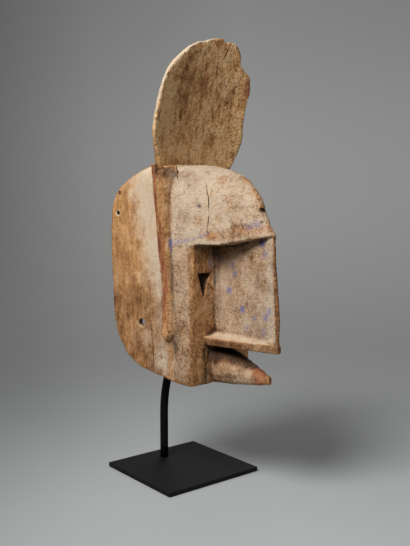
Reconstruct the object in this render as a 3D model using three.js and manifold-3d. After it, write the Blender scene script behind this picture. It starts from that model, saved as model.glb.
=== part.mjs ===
// A carved wooden animal mask with a tall scooped crest, held by a bent steel rod on a square steel plate.
// Millimetres, Z up. The mask looks along -Y, and the origin is the middle of the plate's underside.
import * as THREE from 'three';
import { mergeVertices } from 'three/addons/utils/BufferGeometryUtils.js';
import Module from 'manifold-3d';

const wasm = await Module();
wasm.setup();

// The plate and the rod
const PLATE = { width: 160, depth: 154, thickness: 6, bevel: 0.8 };
const ROD = {
  radius: 6, sides: 14, footY: 46, bendStart: 72, bendRadius: 175, bendAngle: THREE.MathUtils.degToRad(34),
  backY: -34, backRadius: 60, gap: 0.3,
};

// The whole head leans back by this much per unit of height, measured from LEAN_HEIGHT
const LEAN = 0.05;
const LEAN_HEIGHT = 275;

// The head, before the lean. In plan it is a wedge: straight flared sides, then a long narrow forehead.
const HEAD = {
  bottom: 147, top: 442, domeStart: 395, domePower: 2.6, shoulderPower: 8, roundFrom: -48, backY: 54,
  cornerY: -85, cornerHalf: 50, flare: 0.31, ridgeY: -192, ridgeHalf: 2.5, bulge: 3,
};
// The front ridge of the forehead, as Y and Z from the nose up to the crown
const RIDGE = [
  [-192.5, 330], [-192, 354], [-184.5, 364], [-176.5, 384], [-170.5, 397.5], [-164, 405], [-157, 412.5],
  [-149, 420], [-141.5, 424.5], [-132, 428.5], [-122.5, 432.5], [-112.5, 435.5], [-83, 440], [-60, 442],
];
// The head's outline seen from the side, as Y and Z from the chin round the back to the crown
const SIDE = [
  [-95, 149.8], [-77, 148.3], [-60, 150], [-41, 154.8], [-22, 159.2], [-3, 164], [8, 169.3], [18, 177],
  [26, 186.2], [33, 199], [38.8, 213], [41.5, 228], [42.3, 255], [43, 301], [42.2, 345], [40.2, 378],
  [36.2, 394.2], [31.4, 404.3], [24, 412.6], [15.5, 419.4], [6, 425.3], [-3, 430.6], [-11, 435.7],
  [-17.5, 439.6], [-24, 443.5],
];
const WALL = { side: 12.5, rear: 9.5, face: 25, roof: 16, floor: 17 };
const FACE_Y = -88;
const BROW = { edge: 336.4, kink: -128, kinkHeight: 337.4, ridge: 350.4, soffit: 5 };
const NOSE = {
  bottom: 206, topY: -191.5, bottomY: -195.5, frontHalf: 2.4, rootHalf: 8.5, rootY: -99, fillet: 8,
};
const LIP = { bottom: 202.8, top: 213, backHalf: 31, frontHalf: 4 };
const BEAK = {
  tipY: -179, rootY: -70, rootHalf: 23, up: 27, down: 28.5, tipHalf: 5.4, axisRoot: 175, axisTip: 166.8,
};
const EYE = { inner: 18.5, outer: 41, apex: 30.5, top: 298.5, bottom: 266 };

// The ears are long fins down the sides, as height, half-width, thickness and front edge of the root
const EAR_Y = -49;
const EAR = [
  [206.5, 63, 5, -50], [209, 67.5, 9.5, -53], [214, 69.7, 13, -57], [221, 69.3, 14.5, -59.5],
  [233, 68, 15.5, -60.5], [252, 66.8, 16.5, -58.5], [275, 66.3, 17, -57.2], [300, 67, 17.5, -57.8],
  [322, 68.6, 17, -57], [343, 70.3, 15, -56.5], [366, 73, 12, -55.5], [388, 75.5, 8.5, -56],
  [411, 77.2, 6.8, -57],
];
// The near ear keeps its corner, and the far one is worn round at the top. The last two numbers say how far
// the root lies below the outer edge, and how much deeper in the head it sits.
const NEAR_EAR_TOP = [[430, 78.6, 8, -57, 3, 16], [443, 79.5, 10, -57, 13, 22]];
const FAR_EAR_TOP = [[426, 72, 7, -57, 2, 14], [434.5, 58, 7, -56, 6, 20]];

// The crest is a scoop, hollow to the front, that leans forward as it rises
const CREST = {
  bottom: 424, top: 618, rimY: -30, rimHeight: 440, leanForward: 0.25, cup: 13,
  rimFace: 4.8, middleFace: 6.5, rimThick: 7, middleThick: 12.5, halfWidth: 78, foot: 6, footTop: 462,
};
// Its outline from the front: worn round on its right, broken and ragged on its left
const CREST_RIGHT = [
  [-54, 424], [-59.5, 436], [-62, 444], [-65.2, 452], [-69, 460.5], [-72.8, 467], [-75.6, 473.5],
  [-77.8, 480.5], [-79.2, 488], [-80, 497], [-79.6, 505], [-78, 515], [-75.9, 523.5], [-74, 531],
  [-72.3, 540], [-70.5, 548.8], [-68, 555.3], [-64.5, 562], [-60, 568.6], [-54, 575.6], [-45.7, 583],
  [-34.4, 590.8], [-17.5, 599.3], [-2.6, 605.9], [8.7, 610],
];
const CREST_LEFT = [
  [19.4, 612], [23.3, 610.6], [25.7, 607.4], [28.6, 606], [32, 607.2], [35.6, 606.6], [40.7, 604.5],
  [45, 601.5], [48.2, 598.8], [52.5, 592.7], [54.3, 585.8], [53.4, 580.4], [55.4, 576], [60.2, 572.6],
  [65.4, 569.7], [70.5, 563.4], [74, 553.2], [74.4, 543.6], [72.8, 534], [72.6, 522.2], [72.8, 510.4],
  [73.6, 498.7], [75, 487], [74.7, 475], [71.8, 462.7], [67, 451.6], [61.5, 438], [54, 424],
];

const CORD_HOLES = [
  { y: -4, z: 226.5, radius: 5.8 },
  { y: 29.5, z: 377, radius: 3.2 },
];
const RIDGE_CHIP = { top: 385.5, bottom: 356, depth: 4.5 };

// Small geometry helpers

function mix(a, b, t) {
  return a + (b - a) * t;
}

function smooth(a, b, t) {
  const s = THREE.MathUtils.clamp((t - a) / (b - a), 0, 1);
  return s * s * (3 - 2 * s);
}

// A closed body through rings of equally many points, each ring counter-clockwise seen from its end
function loft(rings) {
  const count = rings[0].length;
  const position = rings.flat(2);
  const index = [];
  for (let r = 0; r + 1 < rings.length; r++) {
    for (let k = 0; k < count; k++) {
      const next = (k + 1) % count;
      const a = r * count + k;
      const b = r * count + next;
      index.push(a, b, b + count, a, b + count, a + count);
    }
  }
  const capTriangles = ring => {
    const points = ring.map(p => new THREE.Vector3(...p));
    const normal = new THREE.Vector3();
    points.forEach((p, k) => normal.add(p.clone().cross(points[(k + 1) % count])));
    const turn = new THREE.Quaternion().setFromUnitVectors(normal.normalize(), new THREE.Vector3(0, 0, 1));
    const flat = points.map(p => p.clone().applyQuaternion(turn)).map(p => new THREE.Vector2(p.x, p.y));
    return THREE.ShapeUtils.triangulateShape(flat, []);
  };
  const last = (rings.length - 1) * count;
  for (const [a, b, c] of capTriangles(rings[0])) {
    index.push(a, c, b);
  }
  for (const [a, b, c] of capTriangles(rings.at(-1))) {
    index.push(last + a, last + b, last + c);
  }
  const geometry = new THREE.BufferGeometry();
  geometry.setAttribute('position', new THREE.Float32BufferAttribute(position, 3));
  geometry.setIndex(index);
  return geometry;
}

// An outline drawn in the Y-Z plane, pushed out along X to both sides
function sideExtrusion(shape, halfWidth, curveSegments = 10) {
  const options = { depth: 2 * halfWidth, bevelEnabled: false, curveSegments };
  const toSide = new THREE.Matrix4().makeBasis(
    new THREE.Vector3(0, 1, 0), new THREE.Vector3(0, 0, 1), new THREE.Vector3(1, 0, 0));
  return new THREE.ExtrudeGeometry(shape, options).applyMatrix4(toSide).translate(-halfWidth, 0, 0);
}

// An outline drawn in the X-Z plane, pushed along +Y from one place to another
function frontExtrusion(shape, fromY, toY, curveSegments = 8) {
  const options = { depth: toY - fromY, bevelEnabled: false, curveSegments };
  return new THREE.ExtrudeGeometry(shape, options).rotateX(Math.PI / 2).translate(0, toY, 0);
}

function solid(geometry) {
  const bare = geometry.clone();
  bare.deleteAttribute('normal');
  bare.deleteAttribute('uv');
  const merged = mergeVertices(bare, 1e-4);
  return new wasm.Manifold(new wasm.Mesh({
    numProp: 3,
    vertProperties: new Float32Array(merged.attributes.position.array),
    triVerts: new Uint32Array(merged.index.array),
  }));
}

function geometryOf(body) {
  const mesh = body.getMesh();
  const geometry = new THREE.BufferGeometry();
  geometry.setAttribute('position', new THREE.Float32BufferAttribute(mesh.vertProperties, 3));
  geometry.setIndex([...mesh.triVerts]);
  return geometry;
}

// The same closed body mirrored in the middle plane
function mirrored(body) {
  return body.mirror([1, 0, 0]);
}

function bothSides(body) {
  return body.add(mirrored(body));
}

// A level ring from its right-hand outline, which runs from the front to the back
function levelRing(outline, z) {
  const right = outline.map(([x, y]) => [x, y, z]);
  const left = right.map(([x, y, height]) => [-x, y, height]).reverse();
  return [...right, ...left];
}

// The value at a given key in rows that are sorted by their first number
function lookUp(rows, key, column) {
  const above = rows.findIndex(row => row[0] >= key);
  if (above <= 0) {
    return (above === 0 ? rows[0] : rows.at(-1))[column];
  }
  const [low, high] = [rows[above - 1], rows[above]];
  return mix(low[column], high[column], (key - low[0]) / (high[0] - low[0]));
}

// A soft curve through a list of Y and Z, or X and Z, pairs
function softOutline(pairs, steps) {
  const curve = new THREE.SplineCurve(pairs.map(([a, b]) => new THREE.Vector2(a, b)));
  return curve.getPoints(steps);
}

// The head's plan: how far its side stands from the middle plane
function sideHalf(y) {
  const { cornerY, cornerHalf, flare, ridgeY, ridgeHalf, bulge } = HEAD;
  if (y >= cornerY) {
    return cornerHalf + flare * (y - cornerY);
  }
  const t = THREE.MathUtils.clamp((y - ridgeY) / (cornerY - ridgeY), 0, 1);
  return mix(ridgeHalf, cornerHalf, t) + bulge * Math.sin(Math.PI * t);
}

// A dome narrows like this towards its top: the higher the power, the squarer its shoulder
function domeScale(z, start, top, power) {
  const rise = THREE.MathUtils.clamp((z - start) / (top - start), 0, 0.9995);
  return (1 - rise ** power) ** (1 / power);
}

// Heights that crowd together towards the top of a dome
function domeHeights(start, top, steps) {
  const rise = k => Math.sin((Math.PI / 2) * ((k + 1) / steps));
  return [...Array(steps).keys()].map(k => mix(start, top, rise(k)));
}

// The head as a block: level rings whose front follows the ridge
function headBlock() {
  const stations = 10;
  const ridgeRows = RIDGE.map(([y, z]) => [z, y]);
  const ringAt = z => {
    const scale = domeScale(z, HEAD.domeStart, HEAD.top, HEAD.domePower);
    const shoulder = domeScale(z, HEAD.domeStart, HEAD.top, HEAD.shoulderPower);
    const ridge = lookUp(ridgeRows, z, 1);
    const outline = [];
    for (let k = 0; k < stations; k++) {
      const y = mix(HEAD.ridgeY, HEAD.roundFrom, k / stations);
      outline.push([sideHalf(y) * scale, mix(ridge, HEAD.roundFrom, k / stations)]);
    }
    [HEAD.roundFrom, HEAD.backY].forEach(y => outline.push([sideHalf(y) * shoulder, y]));
    return levelRing(outline, z);
  };
  const low = [HEAD.bottom - 6, 330, 354, 364, 374, 384];
  return solid(loft([...low, HEAD.domeStart, ...domeHeights(HEAD.domeStart, HEAD.top, 11)].map(ringAt)));
}

// The face stands upright although the head leans
function faceAt(z) {
  return FACE_Y - LEAN * (z - LEAN_HEIGHT);
}

// Everything in front of the face and under the brow is cut away, down past the chin
function faceRecess() {
  const shape = new THREE.Shape();
  const front = HEAD.ridgeY - 40;
  const low = HEAD.bottom - 20;
  shape.moveTo(front, low);
  shape.lineTo(faceAt(low), low);
  shape.lineTo(faceAt(BROW.edge), BROW.edge - BROW.soffit);
  shape.quadraticCurveTo(faceAt(BROW.edge), BROW.edge, faceAt(BROW.edge) - 9, BROW.edge);
  shape.lineTo(BROW.kink, BROW.kinkHeight);
  shape.lineTo(HEAD.ridgeY, BROW.ridge);
  shape.lineTo(front, BROW.ridge + 6);
  return solid(sideExtrusion(shape, 100, 4));
}

// The trough inside the head, open to the back and to the neck
function hollow() {
  const front = faceAt(LEAN_HEIGHT) + WALL.face;
  const corner = 20;
  const thick = y => mix(WALL.side, WALL.rear, THREE.MathUtils.clamp((y - front) / 90, 0, 1));
  const inside = y => sideHalf(y) - thick(y);
  const outline = [];
  for (let k = 0; k <= 4; k++) {
    const angle = (Math.PI / 2) * (k / 4);
    const y = front + corner * (1 - Math.cos(angle));
    outline.push([inside(front + corner) - corner * (1 - Math.sin(angle)), y]);
  }
  [0, HEAD.backY + 30].forEach(y => outline.push([inside(y), y]));
  const start = HEAD.domeStart - WALL.roof;
  const top = HEAD.top - WALL.roof;
  const ringAt = z => {
    const scale = domeScale(z, start, top, HEAD.domePower);
    const drawnIn = y => (y < HEAD.roundFrom ? HEAD.roundFrom + (y - HEAD.roundFrom) * scale : y);
    return levelRing(outline.map(([x, y]) => [x * scale, drawnIn(y)]), z);
  };
  const heights = [HEAD.bottom - 30, HEAD.bottom + 60, start, ...domeHeights(start, top, 7)];
  const floor = new THREE.Shape();
  floor.moveTo(front - 5, HEAD.bottom - 40);
  floor.lineTo(-24, HEAD.bottom - 40);
  floor.lineTo(-28, HEAD.bottom + 5);
  floor.quadraticCurveTo(-40, HEAD.bottom + WALL.floor, front + 4, HEAD.bottom + WALL.floor + 12);
  floor.lineTo(front - 5, HEAD.bottom + WALL.floor + 24);
  return solid(loft(heights.map(ringAt))).subtract(solid(sideExtrusion(floor, 100, 6)));
}

// The head seen from the side: flat chin, a sweep up to the back edge, and a round shoulder at the top
function sideProfile() {
  const front = HEAD.ridgeY - 30;
  const ends = [new THREE.Vector2(front, HEAD.top + 1), new THREE.Vector2(front, SIDE[0][1])];
  return new THREE.Shape([...softOutline(SIDE, 38), ...ends]);
}

// The nose is a tall slab, thin in front, that runs into the face with a hollow fillet
function nose() {
  const ringAt = (z, frontY) => {
    const { frontHalf, rootHalf, rootY, fillet } = NOSE;
    const outline = [
      [frontHalf - 0.8, frontY], [frontHalf, frontY + 1.6],
      [mix(frontHalf, rootHalf, 0.55), mix(frontY, rootY, 0.5)],
    ];
    for (let k = 0; k <= 4; k++) {
      const angle = (Math.PI / 2) * (k / 4);
      outline.push([rootHalf + fillet * (1 - Math.cos(angle)), mix(rootY, faceAt(z), Math.sin(angle))]);
    }
    outline.push([rootHalf + fillet, faceAt(z) + 8]);
    return levelRing(outline, z);
  };
  return solid(loft([ringAt(NOSE.bottom, NOSE.bottomY), ringAt(BROW.ridge + 2, NOSE.topY)]));
}

// A flat lip under the nose, a wedge in plan, whose top rises softly to the nose's side
function lip() {
  const front = NOSE.bottomY - 1;
  const ringAt = (spread, z, frontY) => levelRing([
    [LIP.frontHalf * Math.max(spread, 0.7), frontY],
    [mix(LIP.backHalf, LIP.frontHalf, 0.5) * spread + 0.6, mix(faceAt(z), frontY, 0.5)],
    [LIP.backHalf * spread, faceAt(z)], [LIP.backHalf * spread, faceAt(z) + 6],
  ], z);
  return solid(loft([
    ringAt(0.97, LIP.bottom, front + 1), ringAt(1, LIP.bottom + 1.5, front),
    ringAt(1, LIP.top - 1, front), ringAt(0.96, LIP.top, front + 0.5),
    ringAt(0.6, LIP.top + 2.5, front + 1.2), ringAt(0.4, LIP.top + 6, front + 1.8),
  ]));
}

// The beak is a blunt, deep cone that juts forward from the chin, its top running up under the lip
function beak() {
  const steps = 9;
  const sides = 16;
  const squared = value => Math.sign(value) * Math.abs(value) ** 0.8;
  const rings = [];
  for (let k = 0; k <= steps; k++) {
    const t = Math.sin((Math.PI / 2) * (k / steps));
    const blunt = Math.sqrt(Math.max(0, 1 - smooth(0.9, 1.04, t) * 0.6));
    const half = mix(BEAK.rootHalf, BEAK.tipHalf, t ** 1.25) * blunt;
    const up = mix(BEAK.up, BEAK.tipHalf + 1, t ** 1.35) * blunt;
    const down = mix(BEAK.down, BEAK.tipHalf + 2, t ** 1.2) * blunt;
    const axis = mix(BEAK.axisRoot, BEAK.axisTip, t);
    const y = mix(BEAK.rootY, BEAK.tipY, t);
    const ring = [];
    for (let s = 0; s < sides; s++) {
      const angle = (2 * Math.PI * s) / sides;
      const lift = squared(Math.sin(angle));
      ring.push([half * squared(Math.cos(angle)), y, axis + lift * (lift > 0 ? up : down)]);
    }
    rings.push(ring);
  }
  return solid(loft(rings));
}

function eyes() {
  const shape = new THREE.Shape();
  shape.moveTo(EYE.inner, EYE.top);
  shape.lineTo(EYE.apex, EYE.bottom);
  shape.lineTo(EYE.outer, EYE.top);
  return bothSides(solid(frontExtrusion(shape, FACE_Y - 18, FACE_Y + WALL.face + 30)));
}

// One ear in rings that follow the height, ending in the given top rows
function ear(topRows) {
  return solid(loft([...EAR, ...topRows].map(([z, outer, thickness, root, drop = 0, deeper = 0]) => {
    const inner = sideHalf(EAR_Y) - 9 - deeper;
    const [front, back] = [EAR_Y - thickness / 2, EAR_Y + thickness / 2];
    return [
      [inner, Math.min(root, front) - 0.5, z - drop], [mix(inner, outer, 0.5), root, z - drop / 2],
      [outer, front + 1, z], [outer, back - 1, z],
      [mix(inner, outer, 0.6), Math.max(back, EAR_Y + 5), z - drop * 0.4],
      [inner, Math.max(back, EAR_Y + 5) + 0.5, z - drop],
    ];
  })));
}

function crest() {
  const rows = 8;
  const columns = 14;
  const reach = CREST.halfWidth + 8;
  const rings = [];
  for (let k = 0; k <= columns; k++) {
    const x = mix(-reach, reach, k / columns);
    const u = x / CREST.halfWidth;
    const front = [];
    const back = [];
    for (let r = 0; r <= rows; r++) {
      const z = mix(CREST.bottom - 4, CREST.top + 4, r / rows);
      const rim = CREST.rimY - CREST.leanForward * (z - CREST.rimHeight) - LEAN * (z - LEAN_HEIGHT);
      const inward = Math.max(0, 1 - Math.abs(u));
      const face = rim + CREST.cup * (1 - u * u) - mix(CREST.rimFace, CREST.middleFace, inward);
      const thick = mix(CREST.rimThick, CREST.middleThick, inward);
      const foot = CREST.foot * (1 - smooth(CREST.bottom, CREST.footTop, z));
      front.push([x, face - foot, z]);
      back.push([x, face + thick + foot * 0.4, z]);
    }
    rings.push([...back, ...front.reverse()]);
  }
  const worn = softOutline(CREST_RIGHT, 34);
  const broken = CREST_LEFT.map(([x, z]) => new THREE.Vector2(x, z));
  const outline = new THREE.Shape([...worn, ...broken]);
  return solid(loft(rings)).intersect(solid(frontExtrusion(outline, -180, 60)));
}

// Holes for the cords that held the mask's cloth
function cordHoles() {
  const holes = CORD_HOLES.map(({ y, z, radius }) => {
    const hole = new THREE.CylinderGeometry(radius, radius, 50, 12);
    hole.rotateZ(Math.PI / 2).rotateZ(-Math.atan(HEAD.flare));
    return bothSides(solid(hole.translate(sideHalf(y), y, z)));
  });
  return holes[0].add(holes[1]);
}

// A splinter broken off the front ridge, over the nose
function ridgeChip() {
  const ridgeRows = RIDGE.map(([y, z]) => [z, y]);
  const shape = new THREE.Shape();
  const { top, bottom, depth } = RIDGE_CHIP;
  shape.moveTo(lookUp(ridgeRows, bottom, 1) - 1, bottom);
  shape.lineTo(lookUp(ridgeRows, top, 1) + depth, top - 1.5);
  shape.lineTo(lookUp(ridgeRows, top, 1) - 10, top + 1.5);
  return solid(sideExtrusion(shape, 12));
}

function lean(geometry) {
  const position = geometry.attributes.position;
  for (let k = 0; k < position.count; k++) {
    position.setY(k, position.getY(k) + LEAN * (position.getZ(k) - LEAN_HEIGHT));
  }
  return geometry;
}

function maskGeometry() {
  const shell = headBlock().intersect(solid(sideExtrusion(sideProfile(), 130))).subtract(faceRecess());
  const ears = mirrored(ear(NEAR_EAR_TOP)).add(ear(FAR_EAR_TOP));
  const added = [nose(), lip(), beak(), ears, crest()];
  const removed = [hollow(), eyes(), cordHoles(), ridgeChip()];
  const whole = added.reduce((body, piece) => body.add(piece), shell);
  const carved = removed.reduce((body, piece) => body.subtract(piece), whole);
  return lean(geometryOf(carved));
}

// The rod goes straight up, bends forward under the chin and turns up again inside the head
function rodPath() {
  const path = new THREE.CurvePath();
  const at = (y, z) => new THREE.Vector3(0, y, z);
  const { footY, bendStart, bendRadius, bendAngle, backY, backRadius } = ROD;
  const rise = (angle, radius) => radius * Math.sin(angle);
  const shift = (angle, radius) => radius * (1 - Math.cos(angle));
  const bendEnd = at(footY - shift(bendAngle, bendRadius), bendStart + rise(bendAngle, bendRadius));
  const upperY = backY + shift(bendAngle, backRadius);
  const slopeRise = (bendEnd.y - upperY) / Math.tan(bendAngle);
  const upperStart = at(upperY, bendEnd.z + slopeRise);
  const upperEnd = at(backY, upperStart.z + rise(bendAngle, backRadius));
  const end = at(backY, HEAD.top - WALL.roof - ROD.gap);
  const control = (from, angle, radius) => from.clone().add(at(0, radius * Math.tan(angle / 2)));
  const slope = at(-Math.sin(bendAngle), Math.cos(bendAngle));
  path.add(new THREE.LineCurve3(at(footY, PLATE.thickness + ROD.gap), at(footY, bendStart)));
  path.add(new THREE.QuadraticBezierCurve3(
    at(footY, bendStart), control(at(footY, bendStart), bendAngle, bendRadius), bendEnd));
  path.add(new THREE.LineCurve3(bendEnd, upperStart));
  const turn = upperStart.clone().addScaledVector(slope, backRadius * Math.tan(bendAngle / 2));
  path.add(new THREE.QuadraticBezierCurve3(upperStart, turn, upperEnd));
  path.add(new THREE.LineCurve3(upperEnd, end));
  return path;
}

function rodGeometry() {
  const path = rodPath();
  const section = [...Array(ROD.sides).keys()].map(k => (2 * Math.PI * k) / ROD.sides);
  const stop = (curve, t) => ({ at: curve.getPoint(t), along: curve.getTangent(t) });
  const stops = path.curves.flatMap(curve => {
    const steps = curve.isQuadraticBezierCurve3 ? 8 : 1;
    return [...Array(steps).keys()].map(k => stop(curve, k / steps));
  });
  stops.push(stop(path.curves.at(-1), 1));
  const across = new THREE.Vector3(1, 0, 0);
  return loft(stops.map(({ at, along }) => {
    const up = new THREE.Vector3().crossVectors(along, across);
    return section.map(angle => at.clone()
      .addScaledVector(across, ROD.radius * Math.cos(angle))
      .addScaledVector(up, ROD.radius * Math.sin(angle)).toArray());
  }));
}

function plateGeometry() {
  const { width, depth, thickness, bevel } = PLATE;
  const ring = (inset, z) => [
    [width / 2 - inset, depth / 2 - inset, z], [-width / 2 + inset, depth / 2 - inset, z],
    [-width / 2 + inset, -depth / 2 + inset, z], [width / 2 - inset, -depth / 2 + inset, z],
  ];
  return loft([ring(bevel / 2, 0), ring(0, bevel / 2), ring(0, thickness - bevel), ring(bevel, thickness)]);
}

function finish(name, color, roughness, metalness) {
  return new THREE.MeshStandardMaterial({ name, color, roughness, metalness });
}

const wood = finish('wood', 0xa88662, 0.85, 0);
const rodSteel = finish('rod_steel', 0x121313, 0.55, 0.2);
const plateSteel = finish('plate_steel', 0x1c1d1d, 0.6, 0.2);

function named(name, geometry, material) {
  const mesh = new THREE.Mesh(geometry, material);
  mesh.name = name;
  return mesh;
}

const group = new THREE.Group();
group.add(
  named('mask', maskGeometry(), wood),
  named('stand_rod', rodGeometry(), rodSteel),
  named('stand_plate', plateGeometry(), plateSteel),
);

export default group;
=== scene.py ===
"""A gomintogo mask of carved wood, on its black steel stand."""
import math

import bmesh
import bpy
import numpy as np
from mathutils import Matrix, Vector
from mathutils.bvhtree import BVHTree


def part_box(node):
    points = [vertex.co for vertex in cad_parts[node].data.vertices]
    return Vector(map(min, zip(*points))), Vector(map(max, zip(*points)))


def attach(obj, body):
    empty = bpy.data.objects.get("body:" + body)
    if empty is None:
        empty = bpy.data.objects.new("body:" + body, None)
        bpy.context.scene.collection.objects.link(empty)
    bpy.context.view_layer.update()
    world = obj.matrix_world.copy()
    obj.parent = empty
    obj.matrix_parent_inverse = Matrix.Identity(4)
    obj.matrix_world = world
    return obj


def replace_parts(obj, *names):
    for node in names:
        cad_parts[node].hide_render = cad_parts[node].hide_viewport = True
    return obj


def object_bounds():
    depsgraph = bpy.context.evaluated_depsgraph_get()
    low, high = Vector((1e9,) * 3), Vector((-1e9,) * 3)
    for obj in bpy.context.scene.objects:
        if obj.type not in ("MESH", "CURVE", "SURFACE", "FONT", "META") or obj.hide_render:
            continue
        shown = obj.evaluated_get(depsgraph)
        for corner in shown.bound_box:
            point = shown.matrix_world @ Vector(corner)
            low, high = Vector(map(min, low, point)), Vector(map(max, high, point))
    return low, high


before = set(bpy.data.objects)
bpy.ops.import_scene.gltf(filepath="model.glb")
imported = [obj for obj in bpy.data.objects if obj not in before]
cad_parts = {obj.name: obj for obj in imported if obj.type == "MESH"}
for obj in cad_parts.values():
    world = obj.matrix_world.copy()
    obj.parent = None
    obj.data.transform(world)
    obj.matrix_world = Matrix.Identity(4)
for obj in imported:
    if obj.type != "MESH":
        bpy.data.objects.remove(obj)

CAD_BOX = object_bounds()
SCENE = bpy.context.scene
MM = 0.001

# How fine the carving's mesh is: its grid's steps, as a power of two, and the share of them that it fills
GRID_POWER = 8
FINENESS = 0.88

# Sizes, in metres
FLOOR_RADIUS = 3.2
FLOOR_MIDDLE = (-0.1, -0.53, 0)
FLOOR_FADE = 1.9
FLOOR_SHADE_WIDTH = 0.45
FLOOR_DROP = 0.0004
ROD_RADIUS = 0.006
ROD_SIDES = 48
PLATE_CORNER = 0.0018
PLATE_BEVEL = 0.0008
# Corners of the CAD mesh that are nearer than this are one, and folds that touch part by a hair
SAME_POINT = 0.00001
HAIR = 0.0001
# A crack's wedge: its steps, how far it wanders and stands out, its least half-width and its flare
CRACK_STEP = 0.003
CRACK_JOG = 0.0006
CRACK_STANDS_OUT = 0.003
CRACK_THINNEST = 0.00018
CRACK_FLARE = 1.7
# How far over the surface and how far away the darkening in the nooks looks for walls, and in how many
# directions
NOOK_START = 0.0008
NOOK_REACH = 0.04
NOOK_RAYS = 10

# The camera of the photograph
CAMERA_AT = (-0.6444, -0.8543, 0.3922)
CAMERA_TOWARDS = (0.6239, 0.7757, -0.0948)
CAMERA_LEFT = (-0.7757, 0.6239, 0)
CAMERA_LENS = 49.113

# Each lamp's name, its direction from the mask, its distance and width, its power and its colour
LAMPS_AIM = (0, -0.05, 0.33)
LAMPS = (
    ("key", (-0.689, -0.185, 0.701), 1.9, 0.9, 54, (1, 0.985, 0.965)),
    ("fill", (0.08, -0.94, 0.34), 2, 1.2, 5.5, (1, 0.98, 0.95)),
    ("back", (0.55, 0.5, 0.66), 2.2, 1.5, 11, (1, 0.97, 0.94)),
)

# The grey of the backdrop with its light and shade painted in, low and high, from its left (0) to its right
# (1)
BACKDROP_ACROSS = (0.3878, -0.312, 0)
BACKDROP_LOW = ((0.15, 122), (0.35, 102), (0.43, 121), (0.5, 125), (0.63, 121), (0.85, 124))
BACKDROP_HIGH = ((0.15, 130), (0.35, 98), (0.43, 132), (0.52, 146), (0.63, 140), (0.85, 134))
# At which heights it goes from its low greys to its high ones, and at which and how far it dims
BACKDROP_RISE = (-0.27, 0.02)
BACKDROP_DIMS = (0.04, 0.3, 1, 0.76)
AIR_COLOUR = (0.98, 0.99, 1)
AIR_STRENGTH = 0.06
# The floor's paper, pale, and darker to the left where painted shade dims it
FLOOR_PALE = (0.366, 0.38, 0.393)
FLOOR_SHADED = (0.214, 0.232, 0.236)

# The bare wood from dark to pale, then what lies on it, as sRGB from 0 to 255
BARE_WOOD = (
    (0, (52, 31, 17)), (0.22, (106, 69, 37)), (0.45, (149, 105, 63)), (0.65, (177, 131, 83)),
    (0.82, (200, 153, 102)), (1, (220, 183, 135)),
)
# The pale wash; its colour also lays painted light beside the nose and painted highlights on the crest's rim
# and the ears' borders
WASH_AND_LIGHT = (187, 171, 150)
RED = (146, 84, 56)
BLUE = (98, 97, 138)
# Dirt; its colour also lays painted shade under the brow and the lip, in creases and in nooks
DIRT_AND_SHADE = (58, 38, 23)
CRACK_DARK = (40, 26, 16)
CRACK_PALE = (84, 58, 38)
ROD_BLACK = (7, 8, 8)
PLATE_BLACK = (15, 16, 16)
DUST = (150, 150, 150)


def linear(colour):
    """An sRGB colour from 0 to 255 as the linear numbers that the shaders use."""
    c = [v / 255 for v in colour]
    return tuple(v / 12.92 if v <= 0.04045 else ((v + 0.055) / 1.055) ** 2.4 for v in c)


# Random numbers that are the same in each run

def grid_value(x, y, z, seed):
    """A number from 0 to 1 for each point of a whole-numbered grid."""
    x, y, z = (v.astype(np.int64).astype(np.uint64) for v in (x, y, z))
    low = np.uint64(0xFFFFFFFF)
    n = (x * np.uint64(73856093)) ^ (y * np.uint64(19349663)) ^ (z * np.uint64(83492791))
    n = (n ^ np.uint64(seed * 2654435761 % 4294967296)) & low
    n = ((n ^ (n >> np.uint64(13))) * np.uint64(1274126177)) & low
    n = ((n ^ (n >> np.uint64(16))) * np.uint64(2246822519)) & low
    n = n ^ (n >> np.uint64(15))
    return n.astype(float) / 4294967295.0


def noise(points, size, seed, octaves=3):
    """Smooth random values, mostly from -1 to 1. size is a lump's size, one number or three."""
    total, weight = np.zeros(len(points)), 0.0
    q = points / np.array(size, float)
    for k in range(octaves):
        cell = np.floor(q)
        f = q - cell
        f = f * f * f * (f * (f * 6 - 15) + 10)
        value = np.zeros(len(points))
        for corner in range(8):
            step = np.array([corner & 1, corner >> 1 & 1, corner >> 2 & 1])
            share = np.prod(np.where(step, f, 1 - f), axis=1)
            at = cell + step
            value += share * grid_value(at[:, 0], at[:, 1], at[:, 2], seed + 7 * k)
        total += (value * 2 - 1) * 0.5 ** k
        weight += 0.5 ** k
        q = q * 2.03 + 17.3
    return total / weight * 1.6


def scoops(points, size, seed):
    """The marks of a gouge, side by side: 0 in the middle of a hollow and about 1 on the ridges."""
    q = points / np.array(size, float)
    cell = np.floor(q)
    best = np.full(len(points), 9.0)
    for k in range(27):
        at = cell + np.array([k % 3 - 1, k // 3 % 3 - 1, k // 9 - 1])
        spot = np.stack([grid_value(at[:, 0], at[:, 1], at[:, 2], seed + 5 * i) for i in range(3)], axis=1)
        best = np.minimum(best, ((at + spot - q) ** 2).sum(1))
    return np.clip(best / 0.75, 0, 1)


def ramp(value, start, stop):
    """0 before start, 1 after stop, and smooth between them."""
    t = np.clip((value - start) / (stop - start), 0, 1)
    return t * t * (3 - 2 * t)


def fall(value, start, stop):
    """1 before start, 0 after stop, and smooth between them."""
    return 1 - ramp(value, start, stop)


def zone(value, start, stop, soft):
    """1 between start and stop, with soft ends."""
    return ramp(value, start - soft, start + soft) * fall(value, stop - soft, stop + soft)


def blob(points, centre, radius):
    """1 at the centre and fading to 0 at about the radius, which is one number or three."""
    d = (points - np.array(centre, float)) / np.array(radius, float)
    return np.exp(-2.2 * (d * d).sum(1))


def distance_to_path(points, path):
    """How far each point is from a line through the path's points."""
    best = np.full(len(points), 1e9)
    path = np.array(path, float)
    for a, b in zip(path[:-1], path[1:]):
        way = b - a
        t = np.clip(((points - a) @ way) / (way @ way), 0, 1)
        best = np.minimum(best, np.linalg.norm(points - a - t[:, None] * way, axis=1))
    return best


# Meshes

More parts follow.
